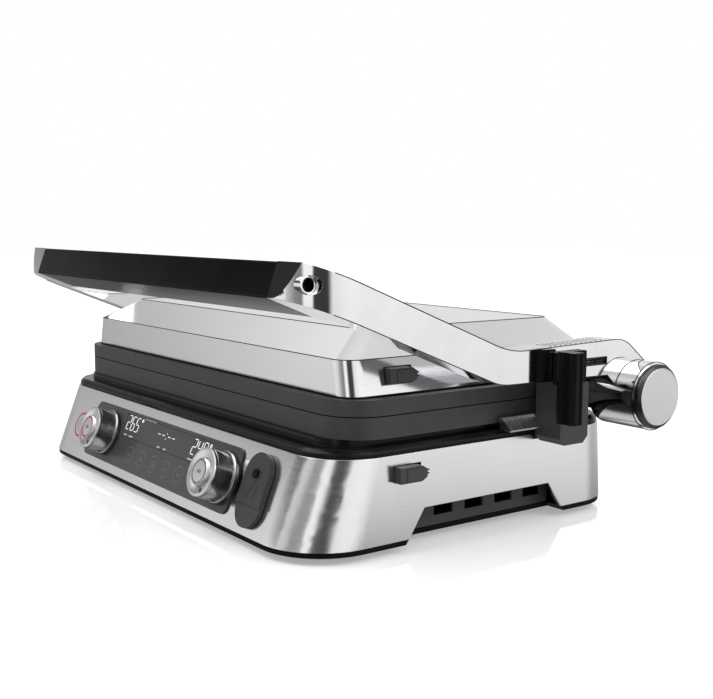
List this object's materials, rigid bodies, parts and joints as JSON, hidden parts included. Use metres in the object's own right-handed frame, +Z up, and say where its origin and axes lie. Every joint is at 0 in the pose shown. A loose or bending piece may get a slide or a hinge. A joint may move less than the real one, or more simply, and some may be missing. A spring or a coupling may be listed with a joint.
{
  "type": "panini press",
  "caption": "Closed contact grill: steel base with dials, two ribbed plates, floating upper housing on two arms with a bar handle.",
  "frame": {"origin": "bottom centre of the whole press, on the table under the feet", "axes": "+X to the right as the user faces it, +Y towards the hinge at the back, +Z up"},
  "size_m": [0.452, 0.277, 0.164],
  "materials": {
    "brushed_steel": "brushed",
    "polished_metal": "polished",
    "polished_steel": "polished",
    "chrome_trim": "polished",
    "grey_plastic": "satin",
    "black_plastic": "satin",
    "black_gloss": "gloss",
    "rubber": "matte",
    "zinc_screw": "zinc plated",
    "display_glass": "gloss",
    "circuit_board": "solder mask",
    "nonstick_cast": "non-stick coating",
    "dark_steel": "heat-blued",
    "bright_aluminium": "pressed"
  },
  "bodies": {
    "base": {"base_pan": "black_plastic", "control_board": "circuit_board", "control_panel": "black_gloss", "cord_gland": "rubber", "cover_screw": "zinc_screw", "display_module": "circuit_board", "display_window": "display_glass", "foot_screws": "zinc_screw", "hinge_shaft": "polished_steel", "left_encoder": "grey_plastic", "left_hinge_bracket": "black_plastic", "lid_rest_tab": "polished_steel", "lower_button_sleeve": "black_plastic", "lower_grill_plate": "nonstick_cast", "lower_heater": "dark_steel", "lower_reflector": "bright_aluminium", "power_board": "circuit_board", "probe_jack": "black_plastic", "rear_stands": "black_plastic", "right_encoder": "grey_plastic", "right_hinge_bracket": "black_plastic", "rubber_feet": "rubber", "side_vents": "grey_plastic", "steel_skirt": "brushed_steel", "top_deck": "black_gloss", "tray_rails": "black_plastic"},
    "left_dial": {"left_dial": "chrome_trim"},
    "right_dial": {"right_dial": "chrome_trim"},
    "left_dial_button": {"left_dial_button": "grey_plastic"},
    "right_dial_button": {"right_dial_button": "grey_plastic"},
    "lower_release_button": {"lower_release_button": "grey_plastic"},
    "upper_release_button": {"upper_release_button": "grey_plastic"},
    "probe_cover": {"probe_cover": "grey_plastic"},
    "drip_tray": {"drip_tray": "black_plastic"},
    "arms": {"right_arm": "polished_metal", "left_arm": "polished_metal", "handle_grip": "black_plastic", "right_hinge_cap": "brushed_steel", "left_hinge_cap": "brushed_steel", "probe_holder_ring": "chrome_trim"},
    "adjuster": {"adjuster_slider": "grey_plastic", "adjuster_foot": "grey_plastic", "adjuster_paddle": "black_gloss"},
    "upper": {"upper_shell": "brushed_steel", "upper_frame": "black_plastic", "upper_grill_plate": "nonstick_cast", "upper_heater": "dark_steel", "upper_reflector": "bright_aluminium", "upper_button_sleeve": "black_plastic", "right_float_pin": "polished_steel", "left_float_pin": "polished_steel", "right_float_bracket": "dark_steel", "left_float_bracket": "dark_steel"}
  },
  "joints": [
    {"name": "lid_hinge", "type": "hinge", "parent": "base", "child": "arms", "pos_m": [0, 0.11702, 0.077], "axis": [-1, 0, 0], "range_deg": [0, 100]},
    {"name": "upper_float", "type": "hinge", "parent": "arms", "child": "upper", "pos_m": [0, 0.09502, 0.101], "axis": [-1, 0, 0], "range_deg": [0, 8]},
    {"name": "adjuster_slide", "type": "slide", "parent": "arms", "child": "adjuster", "axis": [0, 1, 0], "range_m": [0, 0.02]},
    {"name": "left_dial_turn", "type": "hinge", "parent": "base", "child": "left_dial", "pos_m": [-0.078, -0.11623, 0.03138], "axis": [0, -0.9285, 0.3714], "continuous": true},
    {"name": "left_dial_press", "type": "slide", "parent": "base", "child": "left_dial_button", "axis": [0, 0.9285, -0.3714], "range_m": [0, 0.0015], "stiffness_N_per_m": 400, "springref_m": -0.002},
    {"name": "right_dial_turn", "type": "hinge", "parent": "base", "child": "right_dial", "pos_m": [0.092, -0.11623, 0.03138], "axis": [0, -0.9285, 0.3714], "continuous": true},
    {"name": "right_dial_press", "type": "slide", "parent": "base", "child": "right_dial_button", "axis": [0, 0.9285, -0.3714], "range_m": [0, 0.0015], "stiffness_N_per_m": 400, "springref_m": -0.002},
    {"name": "lower_release_button_press", "type": "slide", "parent": "base", "child": "lower_release_button", "axis": [-1, 0, 0], "range_m": [0, 0.0025], "stiffness_N_per_m": 600, "springref_m": -0.002},
    {"name": "upper_release_button_press", "type": "slide", "parent": "upper", "child": "upper_release_button", "axis": [-1, 0, 0], "range_m": [0, 0.0025], "stiffness_N_per_m": 600, "springref_m": -0.002},
    {"name": "probe_cover_swivel", "type": "hinge", "parent": "base", "child": "probe_cover", "pos_m": [0.129, -0.1127, 0.0402], "axis": [0, -0.9285, 0.3714], "range_deg": [0, 80]},
    {"name": "drip_tray_slide", "type": "slide", "parent": "base", "child": "drip_tray", "axis": [0, 1, 0], "range_m": [0, 0.12]}
  ]
}
